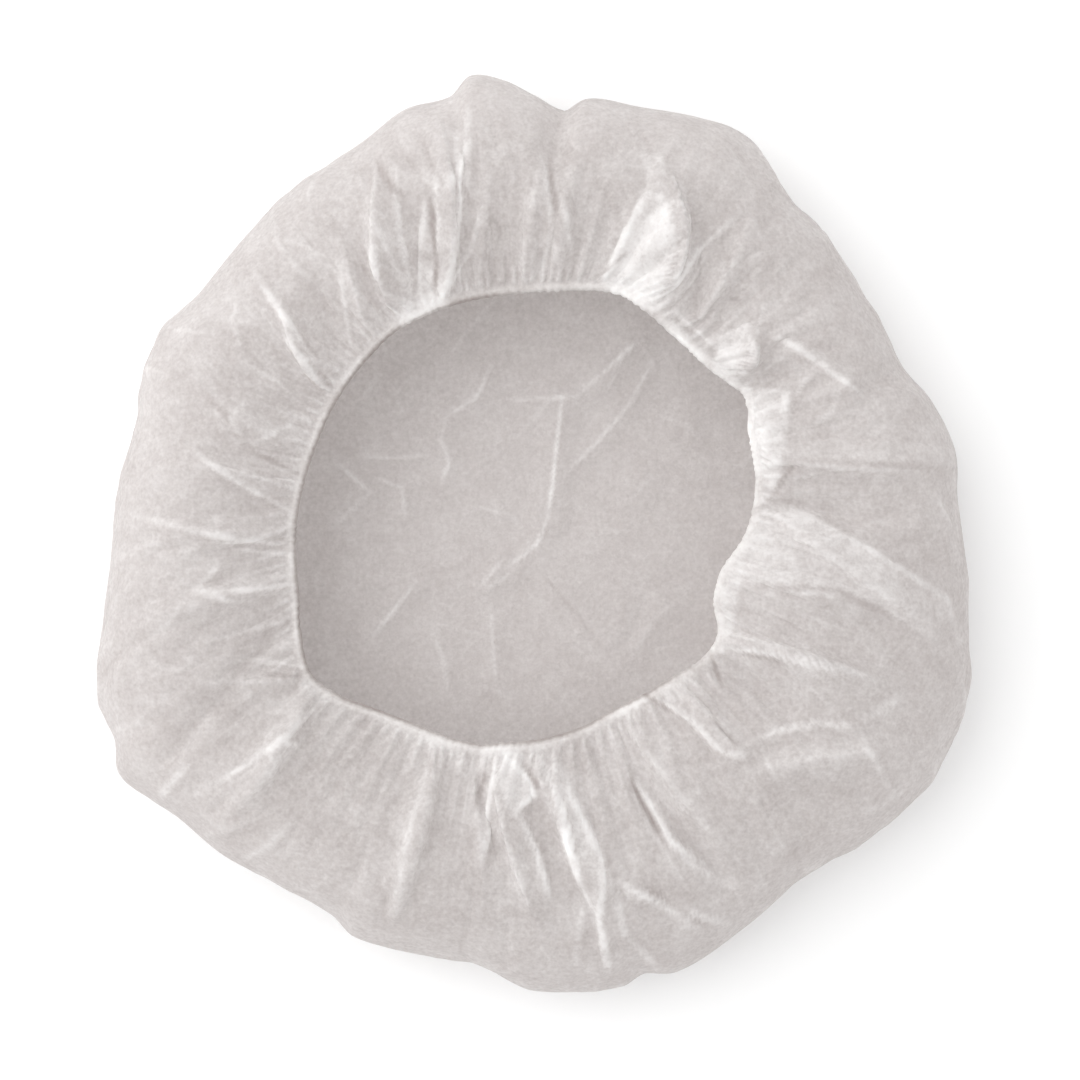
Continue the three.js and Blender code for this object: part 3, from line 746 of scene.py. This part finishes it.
def fabric_mesh():
    """The whole sheet: crown, folded ring and turned hem, as points and faces.

    Its facts are each point's place on the flat disc, then how doubled it is (on the hem, its whiteness with
    the painted shade of its inner side), how tilted and how gathered it is.
    """
    degrees = np.arange(COLUMNS) * 360 / COLUMNS
    crown_rows = len(CROWN_SECTION)
    first = np.interp(SECTION_START * CAP_RADIUS, section.rows[:crown_rows, 0], section.along[:crown_rows])
    share = np.linspace(0, 1, ROWS)
    along = mix(first, section.end - END_BEFORE_ROLL, 1 - (1 - share) ** ROW_POWER)
    ring, doubled, pleats = folded_fabric(along, degrees)
    plain = normals_of(base_surface(along, degrees, folded=False)[0])
    tilt = 1 - np.einsum("ijk,ijk->ij", normals_of(ring), plain)
    rings = []
    facts = []

    def add(points, flat_radius, turned, layers_and_hem_shade, tilted, gather):
        flat = towards(turned) * flat_radius
        count = len(points)
        columns = [np.broadcast_to(value, count) for value in (layers_and_hem_shade, tilted, gather)]
        rings.append(points)
        facts.append(np.column_stack([flat, *columns]))

    crown_steps = [(k * CROWN_STEP, 6 * k) for k in range(1, CROWN_RINGS + 1)]
    outer_start = (CROWN_RINGS + 1) * CROWN_STEP + 4
    outer = np.arange(outer_start, first - 2, OUTER_CROWN_STEP)
    crown_steps += [(radius, OUTER_CROWN_COUNT) for radius in outer]
    add(np.array([[0, 0, WALL / 2]]), 0, np.zeros(1), 0, 0, 0)
    for radius, count in crown_steps:
        turned = np.arange(count) * 360 / count
        points, _ = base_surface(np.array([float(radius)]), turned)
        add(points[0], radius, turned, 0, 0, 0)
    on_top, out, _, _, _ = section.at(along)
    for row in range(ROWS):
        gather = float(1 - smooth(out[row] / 0.3)) if on_top[row] else 0.0
        add(ring[row].astype(float), along[row], degrees, doubled[row], tilt[row], gather)
    outward = towards(degrees)
    axis = elastic_point(degrees)
    # the directions where the hem's inner side is given its painted shade
    shaded = smooth((degrees - SHADED[0]) / 15 + 0.5) * smooth((SHADED[1] - degrees) / 15 + 0.5)
    uneven = 0.7 + 0.9 * closed_noise(COLUMNS, 60, rng)
    for k in range(HEM_ROWS + 1):
        turn = np.radians(mix(*HEM_TURN, k / HEM_ROWS))
        roll = HEM_ROLL + pleats * GATHER_DEPTH * HEM_PLEATS[k]
        plan = axis + outward * (roll * np.cos(turn))[:, None]
        height = elastic_height(degrees) + roll * np.sin(turn)
        # The roll's top rows are whiter, and its inner side gets painted shade in the SHADED directions.
        white = HEM_WHITE[k] * uneven - HEM_SHADE[k] * shaded
        add(np.column_stack([plan, height]), section.end + HEM_ROLL * k / 3, degrees, white, 0, 1.0)
    numbers = []
    count = 0
    for points in rings:
        numbers.append(np.arange(count, count + len(points)))
        count += len(points)
    faces = [(0, numbers[1][(i + 1) % len(numbers[1])], numbers[1][i]) for i in range(len(numbers[1]))]
    for k in range(2, len(rings)):
        faces += strip(numbers[k - 1], numbers[k])
    points = np.concatenate(rings)
    facts = np.concatenate(facts)
    return points, np.array(faces), facts


def vertex_normals(points, faces):
    corners = points[faces]
    normal = np.cross(corners[:, 1] - corners[:, 0], corners[:, 2] - corners[:, 0])
    total = np.zeros_like(points)
    for k in range(3):
        np.add.at(total, faces[:, k], normal)
    return total / np.maximum(np.linalg.norm(total, axis=1, keepdims=True), 1e-12)


def bent(points, faces, normals):
    """How sharply the fabric bends at each point: above 0 on a ridge, below 0 in a furrow."""
    total = np.zeros(len(points))
    weight = np.zeros(len(points))
    for a, b in ((0, 1), (1, 2), (2, 0)):
        i, j = faces[:, a], faces[:, b]
        gap = points[j] - points[i]
        length = np.maximum(np.linalg.norm(gap, axis=1), 1e-6)
        turn = np.einsum("ij,ij->i", normals[j] - normals[i], gap) / length**2
        for end in (i, j):
            np.add.at(total, end, turn)
            np.add.at(weight, end, 1)
    return total / np.maximum(weight, 1)


def put_attribute(mesh, name, kind, values):
    layer = mesh.attributes.new(name, kind, "POINT")
    key = "vector" if kind == "FLOAT_VECTOR" else "value"
    layer.data.foreach_set(key, np.asarray(values, np.float32).ravel())


def new_object(name, points, faces, material):
    mesh = bpy.data.meshes.new(name)
    mesh.from_pydata((points * MM).tolist(), [], faces.tolist())
    mesh.update()
    mesh.polygons.foreach_set("use_smooth", [True] * len(mesh.polygons))
    mesh.materials.append(material)
    piece = bpy.data.objects.new(name, mesh)
    bpy.context.scene.collection.objects.link(piece)
    return piece


def whiteness_and_painted_shade(facts, on_crown, turn, lines):
    """How white the sheer fabric looks: whitest where it lies double, steep, creased or gathered, with
    painted shade in furrows, beside creases and on the hem's inner side.
    """
    doubled, tilt, gathered = facts[:, 2], facts[:, 3], facts[:, 4]
    on_ring = RING_WHITE * (1 - on_crown)
    steep = STEEP_WHITE * smooth(tilt / 0.35)
    ridge = RIDGE_WHITE * smooth((turn - 0.04) / 0.35)
    # painted shade in the furrows
    furrow = PAINTED_FURROW_SHADE * smooth((-turn - 0.05) / 0.4)
    return on_ring + steep + ridge + furrow + DOUBLED_WHITE * doubled + GATHERED_WHITE * gathered + lines


def make_fabric(material):
    points, faces, facts = fabric_mesh()
    flat = facts[:, :2]
    from_middle = np.linalg.norm(flat, axis=1)
    gathered = facts[:, 4]
    on_crown = 1 - smooth((from_middle - CROWN_LOOK[0]) / (CROWN_LOOK[1] - CROWN_LOOK[0]))
    crown = from_middle < SECTION_START * CAP_RADIUS
    top = from_middle > section.edge
    towards_edge = smooth((section.end - from_middle) / EDGE_LINE_FROM) * (1 - on_crown)
    line_width = mix(CREASE_LINE, EDGE_LINE, towards_edge)
    small, lines = along_creases(flat, crumples(), line_width)
    small *= mix(1, CRUMPLES_AT_HEM, gathered)
    lines *= CRUMPLE_LINES * (1 - gathered)
    near_floor = smooth((points[:, 2] - 1) / 10)
    small = mix(np.abs(small), small, near_floor)
    relief, main_lines = along_creases(points[crown, :2], CROWN_CREASES, line_width[crown])
    small[crown] += relief
    lines[crown] += CROWN_LINES * main_lines
    relief, main_lines = along_creases(points[top, :2], TOP_CREASES, line_width[top])
    small[top] += relief * (1 - gathered[top])
    lines[top] += main_lines
    for white, corners in PATCHES:
        share = inside_patch(points[top, :2], corners)
        lines[top] += white * share
        small[top] += PATCH_RISE * share * (1 - gathered[top])
    degrees = np.degrees(np.arctan2(flat[:, 1], flat[:, 0]))
    lines[top] += bunched(degrees[top], np.maximum(section.end - from_middle[top], 0))
    outward = vertex_normals(points, faces)
    outward[crown] = (0, 0, 1)
    points = points + outward * small[:, None]
    points[:, 2] = np.maximum(points[:, 2], FLOOR_GAP)
    points[:, :2] -= MIDDLE
    turn = bent(points, faces, vertex_normals(points, faces))
    # The attribute white carries the fabric's whiteness and the painted shade of furrows, creases and the
    # hem.
    white = np.clip(whiteness_and_painted_shade(facts, on_crown, turn, lines), *WHITE_LIMITS)
    fabric = new_object("cap_fabric", points, faces, material)
    put_attribute(fabric.data, "cloth_place", "FLOAT_VECTOR", points)
    put_attribute(fabric.data, "white", "FLOAT", white)
    return fabric


def make_elastic(material):
    """The elastic, round and smooth, in the hem."""
    count, sides = 600, 12
    degrees = np.arange(count) * 360 / count
    axis = elastic_point(degrees)
    points = []
    for turn in np.arange(sides) * 2 * np.pi / sides:
        plan = axis + towards(degrees) * (ELASTIC_DIAMETER / 2 * np.cos(turn))
        height = elastic_height(degrees) + ELASTIC_DIAMETER / 2 * np.sin(turn)
        points.append(np.column_stack([plan - MIDDLE, height]))
    points = np.stack(points, axis=1).reshape(-1, 3)
    number = np.arange(count * sides).reshape(count, sides)
    ahead = np.roll(number, -1, axis=0)
    faces = np.stack([number, ahead, np.roll(ahead, -1, axis=1), np.roll(number, -1, axis=1)], axis=-1)
    cord = new_object("elastic_in_hem", points, faces.reshape(-1, 4), material)
    around = np.arange(sides) / sides
    place = np.stack(np.meshgrid(np.arange(count) / count, around, indexing="ij"), axis=-1).reshape(-1, 2)
    put_attribute(cord.data, "cord_place", "FLOAT_VECTOR", np.column_stack([place, np.zeros(len(place))]))
    return cord


def linear(hex_colour):
    """An sRGB hex colour as linear red, green, blue and alpha."""
    parts = [int(hex_colour[k : k + 2], 16) / 255 for k in (1, 3, 5)]
    return (*(v / 12.92 if v <= 0.04045 else ((v + 0.055) / 1.055) ** 2.4 for v in parts), 1.0)


def node(tree, kind, settings=None, **links):
    """A node with its settings, and its inputs set to numbers or linked to outputs."""
    made = tree.nodes.new(kind)
    for name, value in (settings or {}).items():
        setattr(made, name, value)
    for name, value in links.items():
        key = int(name[1:]) if name[0] == "_" and name[1:].isdigit() else name.replace("_", " ")
        socket = made.inputs[key]
        if isinstance(value, bpy.types.NodeSocket):
            tree.links.new(value, socket)
        else:
            socket.default_value = value
    return made


def new_material(name):
    material = bpy.data.materials.new(name)
    material.use_nodes = True
    material.node_tree.nodes.clear()
    return material, material.node_tree


def spunbond_nonwoven():
    """Spunbond polypropylene, white and sheer: matt, cloudy with its fibres, whiter where doubled, and darker
    where the mesh carries painted shade.
    """
    material, tree = new_material("spunbond_nonwoven")
    place = node(tree, "ShaderNodeAttribute", {"attribute_name": "cloth_place"}).outputs["Vector"]
    white_and_painted_shade = node(tree, "ShaderNodeAttribute", {"attribute_name": "white"}).outputs["Fac"]

    # Fibre clouds from 14 mm down to under 1 mm, and the grain of the fibres themselves
    clouds = node(tree, "ShaderNodeTexNoise", Vector=place, Scale=1 / 14, Detail=4.0, Roughness=0.76)
    cloudy = node(tree, "ShaderNodeMapRange", _0=clouds.outputs["Fac"], _1=0.25, _2=0.75, _3=-0.22, _4=0.22)
    fibres = node(tree, "ShaderNodeTexNoise", Vector=place, Scale=1 / 1.6, Detail=1.0, Roughness=0.6)
    fibrous = node(tree, "ShaderNodeMapRange", _0=fibres.outputs["Fac"], _1=0.25, _2=0.75, _3=-0.17, _4=0.17)

    # Doubled and creased places, and the painted shade, are cloudy too, so none has an even line or edge
    uneven = node(tree, "ShaderNodeMapRange", _0=clouds.outputs["Fac"], _1=0.3, _2=0.7, _3=0.7, _4=1.25)
    white_and_painted_shade = node(tree, "ShaderNodeMath", {"operation": "MULTIPLY"}, _0=white_and_painted_shade, _1=uneven.outputs[0])
    white = node(tree, "ShaderNodeMath", {"operation": "ADD"}, _0=white_and_painted_shade.outputs[0], _1=cloudy.outputs[0])
    white = node(tree, "ShaderNodeMath", {"operation": "ADD"}, _0=white.outputs[0], _1=fibrous.outputs[0])
    colour = node(
        tree, "ShaderNodeMix", {"data_type": "RGBA", "clamp_factor": False},
        Factor=white.outputs[0], _6=linear("#d1cbc9"), _7=linear("#f6f4f3"),
    ).outputs[2]
    bump = node(tree, "ShaderNodeBump", Strength=0.5, Distance=0.0004, Height=fibres.outputs["Fac"])
    body = node(
        tree, "ShaderNodeBsdfPrincipled",
        Base_Color=colour, Roughness=0.85, Sheen_Weight=0.15, Sheen_Roughness=0.5,
        Specular_IOR_Level=0.25, Normal=bump.outputs[0],
    )
    through = node(tree, "ShaderNodeBsdfTranslucent", Color=colour, Normal=bump.outputs[0])
    fabric = node(tree, "ShaderNodeMixShader", _0=0.45, _1=body.outputs[0], _2=through.outputs[0])

    # Gaps between the fibres let the ground show through, most in a plain single layer
    clear = node(tree, "ShaderNodeBsdfTransparent").outputs[0]
    gaps = node(tree, "ShaderNodeMapRange", _0=white.outputs[0], _1=-0.2, _2=0.8, _3=0.3, _4=0.03)
    seen = node(tree, "ShaderNodeMixShader", _0=gaps.outputs[0], _1=fabric.outputs[0], _2=clear)
    node(tree, "ShaderNodeOutputMaterial", Surface=seen.outputs[0])
    return material


def covered_elastic():
    """Elastic thread wound in white polyester: matt, with the windings just showing."""
    material, tree = new_material("covered_elastic")
    place = node(tree, "ShaderNodeAttribute", {"attribute_name": "cord_place"}).outputs["Vector"]
    stretched = node(tree, "ShaderNodeVectorMath", {"operation": "MULTIPLY"}, _0=place, _1=(1200.0, 2.0, 1.0))
    wound = node(tree, "ShaderNodeTexWave", {"wave_type": "BANDS", "bands_direction": "DIAGONAL"},
                 Vector=stretched.outputs[0], Scale=0.3, Distortion=0.5)
    colour = node(
        tree, "ShaderNodeMix", {"data_type": "RGBA"},
        Factor=wound.outputs["Fac"], _6=linear("#d9d5d0"), _7=linear("#f0ede9"),
    ).outputs[2]
    bump = node(tree, "ShaderNodeBump", Strength=0.4, Distance=0.0001, Height=wound.outputs["Fac"])
    body = node(tree, "ShaderNodeBsdfPrincipled", Base_Color=colour, Roughness=0.75, Normal=bump.outputs[0])
    node(tree, "ShaderNodeOutputMaterial", Surface=body.outputs[0])
    return material


def studio_floor():
    """Plain matt white paper, which gives the eye only a clean ground."""
    material, tree = new_material("studio_paper")
    body = node(tree, "ShaderNodeBsdfDiffuse", Color=linear("#f7f7f7"))
    node(tree, "ShaderNodeOutputMaterial", Surface=body.outputs[0])
    return material


# The photograph's frame, seen straight from above
PHOTO_PIXELS = 1080
PHOTO_MM_PER_PIXEL = CAP_RADIUS / 436.6
PHOTO_CAP_MIDDLE = (534.5, 534.0)
LENS = 100.0
SENSOR = 36.0

# Light and floor, in metres and watts
KEY_SIZE = 2.4
KEY_POWER = 21.0
KEY_PLACE = (-1.0, 0.5, 1.0)
WORLD_STRENGTH = 0.95
FLOOR_SIZE = 8.0


def make_camera():
    data = bpy.data.cameras.new("camera")
    data.lens = LENS
    data.sensor_width = SENSOR
    camera = bpy.data.objects.new("camera", data)
    bpy.context.scene.collection.objects.link(camera)
    frame_width = PHOTO_PIXELS * PHOTO_MM_PER_PIXEL
    middle_x = (PHOTO_PIXELS / 2 - PHOTO_CAP_MIDDLE[0]) * PHOTO_MM_PER_PIXEL
    middle_y = (PHOTO_CAP_MIDDLE[1] - PHOTO_PIXELS / 2) * PHOTO_MM_PER_PIXEL
    widest_at = CAP_HEIGHT * CROWN_SECTION[-1][1]
    camera.location = (middle_x * MM, middle_y * MM, (frame_width * LENS / SENSOR + widest_at) * MM)
    bpy.context.scene.camera = camera


def make_key_light():
    """A large soft lamp up on the left, aimed at the cap."""
    data = bpy.data.lights.new("key", "AREA")
    data.shape = "DISK"
    data.size = KEY_SIZE
    data.energy = KEY_POWER
    light = bpy.data.objects.new("key", data)
    bpy.context.scene.collection.objects.link(light)
    light.location = KEY_PLACE
    away = np.array(KEY_PLACE, float)
    away /= np.linalg.norm(away)
    pitch = np.arccos(away[2])
    light.rotation_euler = (pitch, 0, np.arctan2(away[1], away[0]) + np.pi / 2)


def make_studio():
    world = bpy.data.worlds.new("studio")
    world.use_nodes = True
    bpy.context.scene.world = world
    background = world.node_tree.nodes["Background"]
    background.inputs["Color"].default_value = linear("#ffffff")
    background.inputs["Strength"].default_value = WORLD_STRENGTH
    make_key_light()
    corners = np.array([[-1, -1, 0], [1, -1, 0], [1, 1, 0], [-1, 1, 0]]) * FLOOR_SIZE / 2 / MM
    floor = new_object("floor", corners, np.array([[0, 1, 2, 3]]), studio_floor())
    bpy.context.scene.view_settings.view_transform = "Standard"
    cycles = bpy.context.scene.cycles
    cycles.max_bounces = 4
    cycles.diffuse_bounces = 3
    cycles.transmission_bounces = 3
    cycles.transparent_max_bounces = 4


make_camera()
make_studio()
fabric = make_fabric(spunbond_nonwoven())
elastic = make_elastic(covered_elastic())

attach(fabric, "root")
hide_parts("cap_body")
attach(elastic, "root")
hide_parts("elastic_cord")
